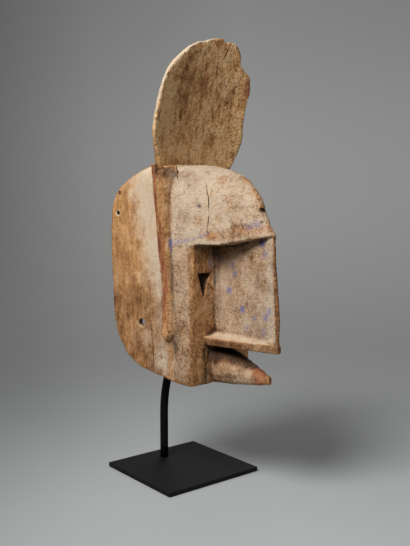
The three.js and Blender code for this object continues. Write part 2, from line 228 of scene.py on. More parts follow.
def new_object(name, mesh, slot=None):
    """Puts a mesh in the scene as an object. With a slot it is a piece that rides on the root."""
    piece = bpy.data.objects.new(name, mesh)
    SCENE.collection.objects.link(piece)
    if slot:
        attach(piece, "root")
    return piece


def mesh_of(name, shape):
    """Turns a bmesh into a mesh and frees it."""
    mesh = bpy.data.meshes.new(name)
    shape.to_mesh(mesh)
    shape.free()
    return mesh


def read(mesh, what):
    """A position or a normal for each of the mesh's points."""
    values = np.empty(len(mesh.vertices) * 3)
    mesh.vertices.foreach_get(what, values)
    return values.reshape(-1, 3)


def numbers(items, what, width=1):
    """Whole numbers of a mesh's edges, faces or corners, in as many rows as each of them has numbers."""
    values = np.empty(len(items) * width, np.int64)
    items.foreach_get(what, values)
    return values.reshape(-1, width).T.squeeze()


def move(mesh, co):
    mesh.vertices.foreach_set("co", co.ravel())
    mesh.update()


def heading(points, k):
    """The way along a line of points at one of them."""
    return points[min(k + 1, len(points) - 1)] - points[max(k - 1, 0)]


def bridge(shape, rings):
    """A closed tube through rings of corners."""
    count = len(rings[0])
    for a, b in zip(rings[:-1], rings[1:]):
        for i in range(count):
            j = (i + 1) % count
            shape.faces.new((a[i], a[j], b[j], b[i]))
    shape.faces.new(reversed(rings[0]))
    shape.faces.new(rings[-1])


def shade_smooth(mesh):
    mesh.polygons.foreach_set("use_smooth", np.ones(len(mesh.polygons), bool))
    mesh.update()


def baked(piece):
    """The piece's mesh with its modifiers applied."""
    bpy.context.view_layer.update()
    shown = piece.evaluated_get(bpy.context.evaluated_depsgraph_get())
    mesh = bpy.data.meshes.new_from_object(shown)
    piece.modifiers.clear()
    piece.data = mesh
    return mesh


class Net:
    """The edges of a mesh, for smoothing values over it."""

    def __init__(self, mesh):
        self.a, self.b = numbers(mesh.edges, "vertices", 2)
        self.count = len(mesh.vertices)
        self.degree = np.maximum(self.total(np.ones(self.count)), 1)

    def total(self, values):
        there = np.bincount(self.a, values[self.b], self.count)
        back = np.bincount(self.b, values[self.a], self.count)
        return there + back

    def mean(self, values):
        if values.ndim == 1:
            return self.total(values) / self.degree
        return np.stack([self.total(v) / self.degree for v in values.T], axis=1)

    def smooth(self, values, times, share=0.5, keep_size=False):
        """Evens values out over the mesh. share is one number, or one for each vertex."""
        if not np.isscalar(share) and values.ndim > 1:
            share = share[:, None]
        for _ in range(times):
            values = values + share * (self.mean(values) - values)
            if keep_size:
                values = values - 1.04 * share * (self.mean(values) - values)
        return values


# Shader nodes

class Tree:
    """The nodes of a material or of the world, with a short way to write sums."""

    def __init__(self, owner):
        owner.use_nodes = True
        self.tree = owner.node_tree
        self.tree.nodes.clear()
        self.count = 0

    def node(self, kind, inputs=None, **settings):
        """Adds a node. inputs holds a number, a colour or another node's output for each socket."""
        node = self.tree.nodes.new(kind)
        self.count += 1
        node.location = (180 * (self.count % 12), -260 * (self.count // 12))
        for name, value in settings.items():
            setattr(node, name, value)
        for name, value in (inputs or {}).items():
            self.put(value, node.inputs[name])
        return node

    def put(self, value, socket):
        if isinstance(value, (int, float)):
            socket.default_value = value
        elif isinstance(value, tuple):
            wants_alpha = len(value) == 3 and len(socket.default_value) == 4
            socket.default_value = (*value, 1) if wants_alpha else value
        else:
            self.tree.links.new(value, socket)

    def math(self, kind, *values):
        return self.node("ShaderNodeMath", dict(enumerate(values)), operation=kind).outputs[0]

    def vector(self, kind, a, b):
        """A number from two vectors: their dot product or their distance."""
        return self.node("ShaderNodeVectorMath", {0: a, 1: b}, operation=kind).outputs["Value"]

    def plus(self, total, value, gain=1):
        """total + gain * value"""
        return self.math("MULTIPLY_ADD", value, gain, total)

    def spread(self, value, gain):
        """A noise value around 0.5 turned into one around 0."""
        return self.math("MULTIPLY_ADD", value, gain, -0.5 * gain)

    def noise(self, where, scale, detail=3.0, rough=0.5):
        inputs = {"Vector": where, "Scale": scale, "Detail": detail, "Roughness": rough}
        return self.node("ShaderNodeTexNoise", inputs).outputs["Fac"]

    def ease(self, value, low, high, start=0, stop=1, kind="SMOOTHSTEP"):
        """Goes from start to stop while the value goes from low to high."""
        inputs = {"Value": value, "From Min": low, "From Max": high, "To Min": start, "To Max": stop}
        return self.node("ShaderNodeMapRange", inputs, interpolation_type=kind).outputs["Result"]

    def mix(self, share, a, b):
        return self.node("ShaderNodeMix", {"Factor": share, 6: a, 7: b}, data_type="RGBA").outputs[2]

    def shades(self, value, stops):
        """A colour ramp. Each stop is a position and an sRGB colour."""
        node = self.node("ShaderNodeValToRGB", {"Fac": value})
        elements = node.color_ramp.elements
        for at, _ in stops[1:-1]:
            elements.new(at)
        for element, (at, colour) in zip(elements, stops):
            element.position = at
            element.color = (*linear(colour), 1)
        return node.outputs["Color"]

    def channels(self, attribute):
        """The three values that are painted on the mesh under one name."""
        source = self.node("ShaderNodeAttribute", attribute_name=attribute)
        return self.node("ShaderNodeSeparateColor", {0: source.outputs["Color"]}).outputs

    def place(self, kind="Object"):
        return self.node("ShaderNodeTexCoord").outputs[kind]

    def bump(self, height, strength, distance):
        inputs = {"Height": height, "Strength": strength, "Distance": distance}
        return self.node("ShaderNodeBump", inputs).outputs[0]

    def finish(self, inputs, shader="ShaderNodeBsdfPrincipled", output="ShaderNodeOutputMaterial"):
        """Adds the last shader and joins it to the output."""
        self.node(output, {"Surface": self.node(shader, inputs).outputs[0]})


def new_material(name):
    material = bpy.data.materials.new(name)
    return material, Tree(material)


# The camera, the light and the floor

def aimed(name, data, at, way):
    """A camera or a lamp in the scene, that looks or shines along a direction."""
    thing = bpy.data.objects.new(name, data)
    thing.location = at
    thing.rotation_mode = "QUATERNION"
    thing.rotation_quaternion = way.to_track_quat("-Z", "Y")
    SCENE.collection.objects.link(thing)
    return thing


def make_camera():
    data = bpy.data.cameras.new("camera")
    data.sensor_width = 36
    data.lens = CAMERA_LENS
    data.clip_start, data.clip_end = 0.05, 50
    SCENE.camera = aimed("camera", data, CAMERA_AT, Vector(CAMERA_TOWARDS))


def make_lamp(name, towards, away, size, power, colour):
    """A round soft light. towards is the direction from the mask to the light."""
    data = bpy.data.lights.new(name, "AREA")
    data.shape = "DISK"
    data.size = size
    data.energy = power
    data.color = colour
    way = Vector(towards).normalized()
    aimed(name, data, Vector(LAMPS_AIM) + way * away, -way).visible_camera = False


def make_world():
    """Soft grey light all round, and a grey backdrop with painted light, palest behind the mask and above
    it.
    """
    world = bpy.data.worlds.new("studio")
    SCENE.world = world
    t = Tree(world)
    where = t.place("Generated")
    across = t.plus(0.5, t.vector("DOT_PRODUCT", where, BACKDROP_ACROSS))
    up = t.node("ShaderNodeSeparateXYZ", {0: where}).outputs["Z"]
    greys = []
    for stops in (BACKDROP_LOW, BACKDROP_HIGH):
        greys.append(t.shades(across, [(at, (grey, grey + 0.5, grey - 0.5)) for at, grey in stops]))
    wall = t.mix(t.ease(up, *BACKDROP_RISE), *greys)
    shown = t.node("ShaderNodeBackground", {"Color": wall, "Strength": t.ease(up, *BACKDROP_DIMS)})
    light = t.node("ShaderNodeBackground", {"Color": AIR_COLOUR, "Strength": AIR_STRENGTH})
    seen = t.node("ShaderNodeLightPath").outputs["Is Camera Ray"]
    both = {"Fac": seen, 1: light.outputs[0], 2: shown.outputs[0]}
    t.finish(both, "ShaderNodeMixShader", "ShaderNodeOutputWorld")


def make_floor():
    """A pale round floor, dimmed to the left by painted shade, that fades into the backdrop."""
    shape = bmesh.new()
    bmesh.ops.create_circle(shape, cap_ends=True, radius=FLOOR_RADIUS, segments=96)
    mesh = mesh_of("floor", shape)
    floor = new_object("floor", mesh)
    floor.location.z = -FLOOR_DROP
    material, t = new_material("floor_paper")
    where = t.place()
    left = t.ease(t.vector("DOT_PRODUCT", where, CAMERA_LEFT), 0, FLOOR_SHADE_WIDTH)
    paper = t.node("ShaderNodeBsdfDiffuse", {"Color": t.mix(left, FLOOR_PALE, FLOOR_SHADED)})
    clear = t.node("ShaderNodeBsdfTransparent")
    fade = t.ease(t.vector("DISTANCE", where, FLOOR_MIDDLE), 0, FLOOR_FADE, kind="SMOOTHERSTEP")
    t.finish({"Fac": fade, 1: paper.outputs[0], 2: clear.outputs[0]}, "ShaderNodeMixShader")
    mesh.materials.append(material)


# The mask's main sizes, in millimetres, as in its solid. Depths have the head's lean taken out

LEAN = 0.05
LEAN_HEIGHT = 275
CORNER_DEPTH = -85
CORNER_HALF = 50
FLARE = 0.31
RIDGE_DEPTH = -192
RIDGE_HALF = 2.5
EAR_DEPTH = -49
# The ears' thickness by height, and the height of the brow's lower edge by how far forward it is
EAR_THICKNESS = (
    (206, 214, 233, 300, 322, 343, 366, 388, 411, 443),
    (5, 13, 15.5, 17.5, 17, 15, 12, 8.5, 7, 10),
)
BROW_EDGE = ((88, 128, 192), (336.4, 337.4, 350.4))
# How far the nose's front and the crest's edges are drawn out past the even solid, by height
NOSE_REACH = (
    (200, 208, 216, 225, 245, 265, 290, 320, 347, 352, 356, 360),
    (0, 0.4, 1.8, 2.8, 4.6, 3.8, 2.8, 2.5, 4.2, 3.4, 0.8, 0),
)
CREST_REACH_NEAR = ((505, 515, 538, 572, 595, 612), (0, 0.8, 2, 2, 1.8, 1))
CREST_REACH_FAR = ((518, 538, 560, 575, 590), (0, 3, 3.2, 3.8, 0))
# How far the crest's top rises past the even solid, from its near side to its far side
CREST_RISE = (
    (-50, -43, -36, -27, -17, -6, 8, 24, 38, 50, 60, 70),
    (0, 0.6, 2.2, 3.8, 4.6, 1.8, 1.4, 0, 2, 3.4, 2.2, 0),
)

# Where the mask's details are, in millimetres

FOREHEAD_CRACK = (
    (-33.4, -95.6, 418.1), (-34.9, -98.6, 412.9), (-36.2, -104.2, 399.9), (-36.9, -106.4, 387.1),
    (-37.4, -107.8, 376.9), (-38.4, -107.7, 366.6), (-39.9, -108.1, 355.1), (-39.1, -111, 348.7),
)
CREST_SPLIT = ((33.2, -66, 606), (31.3, -64.1, 597.1), (28, -61.8, 589.1), (24.4, -59.7, 581.5))
CREST_FOOT_CRACK = (
    (-37.8, -32.9, 436.9), (-41.4, -43.4, 433.7), (-46, -50.7, 428.1), (-48.6, -58.6, 421.2),
)
SIDE_CRACK = (
    (-69.9, -21.6, 238), (-70.1, -22.4, 228.8), (-70.1, -23.3, 213.7), (-69.7, -25.3, 197.3),
    (-69.7, -26.1, 180.7), (-69.7, -26.8, 165.5), (-69.5, -27, 152),
)
# Each crack with its width at its widest and its depth
CRACKS = (
    (FOREHEAD_CRACK, 1.35, 5), (CREST_SPLIT, 1.7, 4.5), (CREST_FOOT_CRACK, 1.5, 5),
    (SIDE_CRACK, 1.6, 5),
)
# Pits with their radius and depth: the forehead's knot, one in the crest's rim and one in the side
KNOT = (-42.5, -93.5, 387.1)
PITS = (
    (KNOT, (5, 5, 3), 1.3), ((-76.9, -46.2, 498.1), 4, 1.6), ((-83.5, 31.7, 404.7), (4, 3, 6), 1),
)
# The lower bound of the painted shade under the brow: its height by how far forward it is
PAINTED_SHADE_START = ((92, 125, 150), (315, 321, 330))
# Spots of blue paint on the nose
BLUE_SPOTS = (
    ((-3.5, -172.1, 341.7), 4.4, 1.3), ((-3.2, -176.8, 327.5), 5.5, 0.36), ((-7, -123.7, 298.1), 4.3, 0.6),
    ((-7.7, -112.8, 275.8), 5, 0.45), ((-6.3, -138, 253.5), 4.3, 0.65), ((-4.9, -159, 244.3), 4.2, 0.35),
    ((-3, -184.7, 256.4), 5.6, 0.34), ((-3.4, -179.7, 248.1), 5.6, 0.3), ((-6, -145, 229.1), 5, 0.2),
    ((-3.8, -175.7, 227.9), 5.6, 0.26), ((-8.5, -97.6, 319.4), 5, 0.15), ((-7.2, -118.5, 310.1), 5, 0.16),
)
BLUE_LINE = (
    (-58.2, -55.4, 336.6), (-55.3, -64.8, 339.6), (-52.3, -74.1, 341.2), (-49.3, -83.2, 342.8),
    (-46.3, -91.9, 345.6), (-43.1, -100.5, 348.4), (-39.8, -108.8, 352.5),
)
BLUE_LINE_STEP = 5.2
# Other blue strokes: path, strength, half-width where they start to fade and where they end
BLUE_STROKES = (
    (((-59.2, -53.4, 342), (-59.1, -54.3, 326.6)), 0.95, 1.2, 3.4),
    (((-16.1, -157.3, 361), (-7.7, -170.3, 364.9)), 0.48, 2, 7.5),
    (((-19.7, -88.2, 316), (-19.7, -88.2, 303)), 0.35, 1.5, 5),
)
# Spots of stain and dirt, each with its radius and strength. The crest's blue spots are all alike
CREST_FLECKS = (
    ((-35, -57, 568), (6, 20, 8), 0.5), ((-27, -53, 555), (6, 20, 9), 0.6),
    ((-32, -48, 533), (8, 20, 9), 0.9), ((-25, -45, 521), (6, 20, 10), 0.6),
    ((-33, -43, 508), (4, 20, 16), 0.9), ((-29, -34, 480), (5, 20, 12), 0.6),
    ((29.4, -34, 476), (3, 20, 9), 1), ((-44, -40, 494), (3, 20, 16), 0.6),
    ((-43.6, -50, 537), (4, 20, 5), 0.5), ((42, -49, 533), (7, 20, 6), 0.6),
    ((63.6, -36, 459), (4, 20, 7), 0.8), ((3, -58, 577), (9, 20, 7), 0.5), ((-4, -45, 524), (6, 20, 9), 0.4),
    ((6, -40, 500), (5, 20, 12), 0.4), ((50, -40, 492), (4, 20, 12), 0.4),
)
CREST_REDS = (
    ((74, -59, 553), (11, 40, 22), 1.25), ((14, -65, 606), (14, 30, 8), 0.8),
    ((2, -52, 552), (10, 40, 20), 0.95), ((-10, -48, 540), (7, 30, 8), 0.35),
    ((42, -49, 532), (9, 30, 8), 0.25),
)
CREST_BLUES = ((-56, -52, 534), (-38.5, -32, 462), (-10, -28, 453), (35, -54, 556))
FOREHEAD_STAINS = (
    ((0, -144, 417), (14, 12, 10), 0.8), ((0, -158, 404), (12, 10, 14), 0.9),
    ((-22, -136, 386), (14, 14, 12), 0.7), ((-3, -168, 388), (10, 12, 12), 0.5),
    ((-44, -95, 366), (12, 14, 14), 1.5), ((-39, -112, 349), (12, 15, 9), 2.2),
    ((-39, -63, 429), (12, 14, 9), 1.2), ((-52, -72, 372), (10, 12, 9), 0.35),
    ((-44, -88, 405), (10, 10, 9), 0.3),
)
FOREHEAD_DIRT = (
    ((1, -169, 382), (8, 7, 3.5), 1), ((-5.4, -173.3, 367.4), (5, 4.5, 3.5), 0.9),
    (KNOT, (4.5, 4.5, 2.6), 0.8),
)
SIDE_FLECKS = (
    ((-84.5, 32.7, 406), (5, 5, 5), 1.3), ((-81.3, 20.4, 345.3), (4, 5, 2), 0.35),
    ((-81, 18.8, 352.2), (4, 4, 2), 0.35), ((-87.1, 34.1, 261.8), (5, 6, 12), 0.4),
    ((-83.2, 21.9, 269.8), (5, 7, 12), 0.35), ((-77.7, 4.8, 284.9), (5, 9, 10), 0.3),
    ((-71.3, -17.2, 258.7), (5, 8, 10), 0.3), ((-85, 30, 245), (5, 4, 22), 0.35),
)
# The painted shade line in the crease along the ear's front edge
EAR_SHADE_LINE = (
    (-60.6, -54.2, 328.7), (-58.7, -55.9, 308.7), (-59.8, -57.1, 275.3), (-62.8, -61, 232.9),
    (-61, -62, 219),
)
# The cord holes, as (y, z, radius, how pale their rims are)
CORD_HOLES = ((34.6, 377, 3.2, 1), (-6.4, 226.5, 5.8, 0.35))


# The mask

def part_pinches(mesh):
    """Where two folds of the surface share an edge, each fold gets an edge of its own, a hair apart."""
    shape = bmesh.new()
    shape.from_mesh(mesh)
    for edge in [e for e in shape.edges if len(e.link_faces) == 4]:
        if not edge.is_valid or len(edge.link_faces) != 4:
            continue
        a, b = edge.verts
        middle = (a.co + b.co) / 2
        axis = (b.co - a.co).normalized()
        faces = list(edge.link_faces)
        away = [face.calc_center_median() - middle for face in faces]
        away = [(way - axis * way.dot(axis)).normalized() for way in away]
        first = away[0]
        turn = [math.atan2(axis.dot(first.cross(way)), first.dot(way)) % (2 * math.pi) for way in away]
        order = sorted(range(4), key=lambda k: turn[k])
        gaps = [(turn[order[(k + 1) % 4]] - turn[order[k]]) % (2 * math.pi) for k in range(4)]
        shift = 0 if gaps[0] + gaps[2] < gaps[1] + gaps[3] else 1
        for k in (shift, shift + 2):
            pair = [order[k], order[(k + 1) % 4]]
            into = (away[pair[0]] + away[pair[1]]).normalized()
            knot = shape.verts.new(middle + into * HAIR)
            for which in pair:
                loop = list(faces[which].verts)
                start = next(i for i, v in enumerate(loop) if {loop[i - 1], v} == {a, b})
                loop = loop[start:] + loop[:start]
                for v, after in zip(loop[:-1], loop[1:]):
                    shape.faces.new((knot, v, after))
        bmesh.ops.delete(shape, geom=faces, context="FACES_ONLY")
        if edge.is_valid and not edge.link_faces:
            shape.edges.remove(edge)
    shape.normal_update()
    shape.to_mesh(mesh)
    shape.free()
    shade_smooth(mesh)


def mask_piece():
    """The CAD solid as a fine even mesh that keeps its sharp edges."""
    shape = bmesh.new()
    shape.from_mesh(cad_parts["mask"].data)
    bmesh.ops.remove_doubles(shape, verts=shape.verts, dist=SAME_POINT)
    piece = new_object("mask_carving", mesh_of("mask_carving", shape), "wood")
    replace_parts(piece, "mask")
    fine = piece.modifiers.new("fine", "REMESH")
    fine.mode = "SHARP"
    fine.octree_depth = GRID_POWER
    fine.scale = FINENESS
    fine.use_smooth_shade = True
    part_pinches(baked(piece))
    return piece


def straightened(p):
    """Points with the head's lean taken out, so that depth means the same at each height."""
    x, y, z = p.T
    return x, y - LEAN * (z - LEAN_HEIGHT), z


def side_half(u):
    """How far the head's side stands from its middle plane."""
    wedge = np.interp(u, (RIDGE_DEPTH, CORNER_DEPTH), (RIDGE_HALF, CORNER_HALF))
    return np.where(u > CORNER_DEPTH, CORNER_HALF + FLARE * (u - CORNER_DEPTH), wedge)


def inside(p, n):
    """1 where the surface lines the hollow, and 0 outside."""
    x, u, z = straightened(p)
    nx, ny, nz = n.T
    half = side_half(u)
    walls = (np.sign(x) * nx < -0.25) & (u > -72) & (z < 428) & (abs(x) > 12) & (abs(x) < half - 5)
    roof = (nz < -0.3) & (z > 370) & (u > -72) & (abs(x) < 60)
    front = (ny > 0.5) & (u < -45) & (abs(x) < half - 5) & (z < 430) & (u > -75)
    neck = (nz > 0.3) & (z < 195) & (u > -70) & (abs(x) < 52)
    return (walls | roof | front | neck).astype(float)


def bulge(net, p, n):
    """How far each point lies under the mean of its neighbours: above 0 in nooks and below 0 on edges."""
    return net.smooth(((net.mean(p) - p) * n).sum(1), 2)


def carve(mesh):
    """Evens out the facets, wears the edges and adds the unevenness of handwork."""
    net = Net(mesh)
    co = read(mesh, "co")
    n = read(mesh, "normal")
    turn = np.linalg.norm(net.mean(n) - n, axis=1)
    sharp = ramp(net.smooth(turn, 3), 0.035, 0.09)
    co = net.smooth(co, 30, share=0.5 * (1 - sharp))
    co = net.smooth(co, 4, keep_size=True)
    # The crest's rim is worn round
    x, _, z = co.T / MM
    co = net.smooth(co, 5, share=0.5 * ramp(z, 448, 470) * fall(x, 8, 24))
    # The nose's front and the crest's edges reach a little further
    x, u, z = straightened(co / MM)
    co[:, 1] -= MM * np.interp(z, *NOSE_REACH) * ramp(-u, 140, 184) * fall(abs(x), 12, 24)
    co[:, 0] -= MM * np.interp(z, *CREST_REACH_NEAR) * ramp(-x, 20, 60)
    co[:, 0] += MM * np.interp(z, *CREST_REACH_FAR) * ramp(x, 20, 60)
    co[:, 2] += MM * np.interp(x, *CREST_RISE) * ramp(z, 555, 592)
    move(mesh, co)
    n = read(mesh, "normal")
    p = co / MM
    hollow = net.smooth(inside(p, n), 6)
    edge = ramp(-bulge(net, p, n), 0.02, 0.12)

    push = 0.6 * noise(p, 55, 3, 2)
    push += 0.30 * noise(p, (11, 11, 26), 11, 2)
    push += 0.16 * noise(p, (3.5, 3.5, 14), 23, 2)
    push += 0.45 * (1 - hollow) * (scoops(p, (13, 13, 21), 61) - 0.5)
    push += 1.5 * hollow * (scoops(p, (17, 17, 26), 67) - 0.6)
    # Small bruises and lost splinters along the edges
    push -= 0.6 * edge * ramp(noise(p, (6, 6, 9), 71, 2), 0.25, 0.9)
    for centre, radius, depth in PITS:
        push -= depth * blob(p, centre, radius)
    # The rough seam where the beak leaves the chin
    push -= 1.2 * blob(p, (-27, -91, 178), (7, 9, 30)) * (0.6 + 0.8 * noise(p, 4, 77, 2))
    # The broken, splintered part of the crest's edge
    torn = ramp(p[:, 0], 22, 34) * ramp(p[:, 2], 545, 562) * edge
    push -= torn * 1.5 * np.clip(noise(p, (4, 8, 10), 83, 2), 0, 1)
    co = co + n * (push * MM)[:, None]
    move(mesh, np.clip(co, *np.array(CAD_BOX)))


def search_tree(mesh):
    return BVHTree.FromPolygons([v.co for v in mesh.vertices], [list(f.vertices) for f in mesh.polygons])


def crack_blade(tree, path, width, depth, seed):
    """A thin wedge along a path on the surface, to cut a crack with."""
    path = np.array(path, float) * MM
    steps = [0.0]
    for a, b in zip(path[:-1], path[1:]):
        steps.append(steps[-1] + np.linalg.norm(b - a))
    along = np.arange(0, steps[-1] + 0.001, CRACK_STEP)
    points = np.stack([np.interp(along, steps, path[:, k]) for k in range(3)], axis=1)
    jog = noise(points / MM, 9, seed, 2)
    share = np.sin(np.pi * np.clip(along / steps[-1], 0.02, 0.98)) ** 0.5
    wide = width * MM / 2 * share * (0.75 + 0.35 * noise(points / MM, 6, seed + 1, 1))
    shape = bmesh.new()
    rings = []
    for k, at in enumerate(points):
        spot, normal, _, _ = tree.find_nearest(Vector(at))
        across = Vector(heading(points, k)).normalized().cross(normal).normalized()
        spot = spot + across * float(jog[k]) * CRACK_JOG
        top = spot + normal * CRACK_STANDS_OUT
        low = spot - normal * (depth * MM * float(share[k]))
        side = across * float(max(wide[k], CRACK_THINNEST)) * CRACK_FLARE
        rings.append([shape.verts.new(v) for v in (top + side, low, top - side)])
    bridge(shape, rings)
    bmesh.ops.triangulate(shape, faces=shape.faces)
    bmesh.ops.recalc_face_normals(shape, faces=shape.faces)
    for face in shape.faces:
        face.material_index = 1
    return mesh_of("blade", shape)


def cut_cracks(piece, materials):
    """Cuts each crack out of the mask as a narrow wedge with dark walls."""
    tree = search_tree(piece.data)
    shape = bmesh.new()
    for k, crack in enumerate(CRACKS):
        shape.from_mesh(crack_blade(tree, *crack, 90 + 3 * k))
    blades = mesh_of("blades", shape)
    for material in materials:
        piece.data.materials.append(material)
        blades.materials.append(material)
    knife = new_object("blades", blades)
    cut = piece.modifiers.new("cut", "BOOLEAN")
    cut.operation = "DIFFERENCE"
    cut.solver = "MANIFOLD"
    cut.object = knife
    mesh = baked(piece)
    bpy.data.objects.remove(knife)
    # An edge between the worn surface and a crack's wall stays sharp
    slots = np.repeat(numbers(mesh.polygons, "material_index"), numbers(mesh.polygons, "loop_total"))
    walls = np.bincount(numbers(mesh.loops, "edge_index"), slots, len(mesh.edges))
    mesh.edges.foreach_set("use_edge_sharp", walls == 1)
    shade_smooth(mesh)


def closeness(mesh, p, n):
    """How much of the open air over each point is shut off by near walls: 0 open, 1 shut."""
    golden = math.pi * (3 - math.sqrt(5))
    shut = np.zeros(len(p))
    helper = np.where(abs(n[:, 2:]) < 0.9, (0.0, 0.0, 1.0), (1.0, 0.0, 0.0))
    side = np.cross(helper, n)
    side /= np.linalg.norm(side, axis=1)[:, None]
    other = np.cross(n, side)
    spin = grid_value(*np.floor(p.T * 2), 5) * 2 * math.pi
    start = (p * MM + n * NOOK_START).tolist()
    cast = search_tree(mesh).ray_cast
    for k in range(NOOK_RAYS):
        rise = math.sqrt(1 - (k + 0.5) / NOOK_RAYS)
        flat = math.sqrt(1 - rise * rise)
        a = spin + golden * k
        way = n * rise + side * (flat * np.cos(a))[:, None] + other * (flat * np.sin(a))[:, None]
        for i, (s, w) in enumerate(zip(start, way.tolist())):
            gap = cast(s, w, NOOK_REACH)[3]
            if gap is not None:
                shut[i] += 1 - gap / NOOK_REACH
    return shut / NOOK_RAYS


class Surface:
    """The mask's points with what is known of each, and the values that its material reads."""

    def __init__(self, mesh):
        net = Net(mesh)
        self.p = p = read(mesh, "co") / MM
        self.n = n = read(mesh, "normal")
        self.x, self.u, self.z = straightened(p)
        self.out = np.sign(p[:, 0]) * n[:, 0]
        curve = bulge(net, p, n)
        self.edge = ramp(-curve, 0.06, 0.22)
        self.nook = net.smooth(ramp(curve, 0.02, 0.14), 1)
        self.shut = net.smooth(closeness(mesh, p, n), 5)

        # The main parts
        self.hollow = net.smooth(inside(p, n), 4)
        self.open = 1 - self.hollow
        self.crest = ramp(self.z, 437, 443) * self.open
        self.outer = ramp(self.out, 0.3, 0.7) * self.open * (1 - self.crest)

        # Soft clouds of five sizes, for everything that varies from place to place
        self.slow = noise(p, 36, 41, 3)
        self.patch = noise(p, (13, 13, 16), 47, 3)
        self.mottle = noise(p, (5, 5, 7), 53, 3)
        self.streak = noise(p, (5, 5, 42), 59, 3)
        self.thread = noise(p, (2.6, 2.6, 24), 61, 2)

        # What the material reads
        self.tone = 0.58 + 0.08 * self.slow + 0.09 * self.patch + 0.08 * self.mottle
        self.wash = 0.22 + 0.10 * self.slow + 0.13 * self.patch + 0.10 * self.mottle
        self.coarse = 0.38 + 0.15 * self.slow
        self.red, self.blue, self.dirt = np.zeros((3, len(p)))

    def lay(self, where, **amounts):
        """Adds to tone, wash, red, blue, dirt or coarse; wash also lays painted light, dirt painted shade.
        An amount is one number, or one for each point.
        """
        for name, amount in amounts.items():
            setattr(self, name, getattr(self, name) + amount * where)

    def spots(self, places, where, **amounts):
        """Lays a spot at each place, which is its centre, its radius and its strength."""
        for centre, radius, strength in places:
            self.lay(strength * where * blob(self.p, centre, radius), **amounts)


def paint_crest(s):
    """Bare golden wood with upright grain, dark flecks, a paler right half and a pale rim with a painted
    highlight.
    """
    x, z, p = s.x, s.z, s.p
    front = s.crest * ramp(-s.n[:, 1], -0.1, 0.3)
    s.lay(front, tone=0.28 + 0.17 * s.streak + 0.19 * s.thread, coarse=0.55 + 0.25 * s.patch, red=0.1)
    s.lay(front, wash=0.14 * ramp(x, 5, 40) - 0.42 - 0.16 * fall(x, -44, -30) * ramp(z, 470, 510))
    s.lay(front, tone=0.14 * fall(x, -56, -40) * ramp(z, 470, 520) + 0.09 * zone(z, 436, 505, 14))
    band = front * zone(x + 0.1 * (z - 500), -44, -20, 7) * zone(z, 462, 578, 14)
    s.lay(band, tone=-0.11 * (0.7 + 0.9 * s.patch))
    dark = ramp(noise(p, (4, 4, 11), 101, 2), 0.35, 0.9)
    s.lay(front * zone(x, -50, 36, 10) * zone(z, 470, 590, 14), tone=-0.22 * dark)
    s.lay(front, tone=-0.05 * ramp(x, 25, 55) - 0.1 * blob(p, (36, -48, 520), (16, 30, 14)))
    s.lay(front * zone(z, 436, 449, 3) * fall(x, 12, 30), tone=-0.09)
    left = front * fall(x, -52, -44) * fall(z, 530, 556)
    s.lay(left, wash=-0.16, tone=0.1 + 0.2 * s.thread + 0.12 * s.streak)
    low = front * zone(z, 444, 508, 12) * zone(x, -48, 12, 10)
    s.lay(low * ramp(s.mottle + 0.5 * s.thread, -0.5, 0.6), wash=0.38)
    s.lay(front * blob(p, (34, -50, 548), (24, 30, 16)) * ramp(s.mottle, -0.5, 0.5), wash=0.5)
    s.spots(CREST_FLECKS, front * np.clip(1 + 0.6 * s.mottle, 0, 2), tone=-0.42, dirt=0.22)
    s.spots(CREST_REDS, s.crest, red=ramp(s.mottle, -0.9, 0.3), tone=-0.25, wash=-0.3)
    for centre in CREST_BLUES:
        s.lay(front * blob(p, centre, (6, 20, 9)), blue=0.3 * ramp(s.mottle, -0.5, 0.6))

    # The rim's left side is worn pale, most of all towards the top, and a painted highlight lights it where
    # it faces the light from the left and from above
    rim = s.crest * fall(x, 4, 20) * ramp(z, 440, 520) * (0.55 + 0.45 * ramp(z, 500, 545))
    s.rim = rim * ramp(np.maximum(-s.n[:, 0], 0.8 * s.n[:, 2]) + 0.5 * s.edge, 0.3, 0.62)
    s.lay(s.rim, wash=1.3 * (1 + 0.2 * s.mottle), tone=0.36, coarse=-0.3)


def paint_sides(s):
    """Pale near the ears, brown towards the back and the neck."""
    u, z, p = s.u, s.z, s.p
    side = s.outer * ramp(u, -47, -43) * fall(abs(s.x) - side_half(u), 2, 5)
    bound = np.interp(z, (235, 262, 330, 400), (-34, -24, -5, 4)) + 4 * s.patch
    pale = side * fall(u, bound - 22, bound + 18) * ramp(z, 215, 310)
    pale = np.maximum(pale, 0.7 * side * ramp(z, 400, 432))
    s.lay(pale, wash=0.7 * (1 + 0.12 * s.mottle), tone=0.17)
    s.lay(side, tone=0.09 * s.thread - 0.05 * ramp(u, -10, 25) - 0.15 * fall(z, 250, 330))
    s.lay(side, wash=-0.2 * (1 - pale), coarse=-0.2)
    chin, neck = blob(p, (-66, -44, 180), (20, 27, 38)), blob(p, (-70, -14, 205), (20, 26, 34))
    grey = side * np.maximum(0.45 * neck, chin)
    s.lay(grey, wash=0.8 * ramp(s.mottle, -1.5, 0), tone=0.1, coarse=0.3)
    s.lay(side * ramp(s.patch + 0.5 * s.streak, 0.45, 1.1) * fall(z, 300, 340), dirt=0.3)
    s.lay(side * zone(u, -45, -8, 8) * zone(z, 150, 300, 20), tone=-0.08)
    s.lay(side * zone(u, -20, 12, 8) * fall(z, 205, 235), tone=-0.07)
    s.lay(side, tone=0.14 * ramp(u, 8, 28) * ramp(z, 365, 405) - 0.05 * zone(z, 230, 262, 10))
    s.lay(side * blob(p, (-67, -38, 238), (20, 15, 42)), wash=0.35, tone=0.08)
    s.lay(s.outer * zone(u, -60, -44, 3) * fall(z, 206, 216), wash=0.12, tone=-0.07)
    s.spots(SIDE_FLECKS, side * np.clip(1 + 0.5 * s.mottle, 0, 2), dirt=1)
    for y, height, radius, strength in CORD_HOLES:
        away = np.hypot(p[:, 1] - y, z - height)
        worn = strength * zone(away, radius - 1.5, radius + 1.2, 0.7) * (abs(s.x) > 60)
        s.lay(worn, wash=0.7, tone=0.2)
        s.edge *= 1 - worn
        s.shut *= 1 - worn


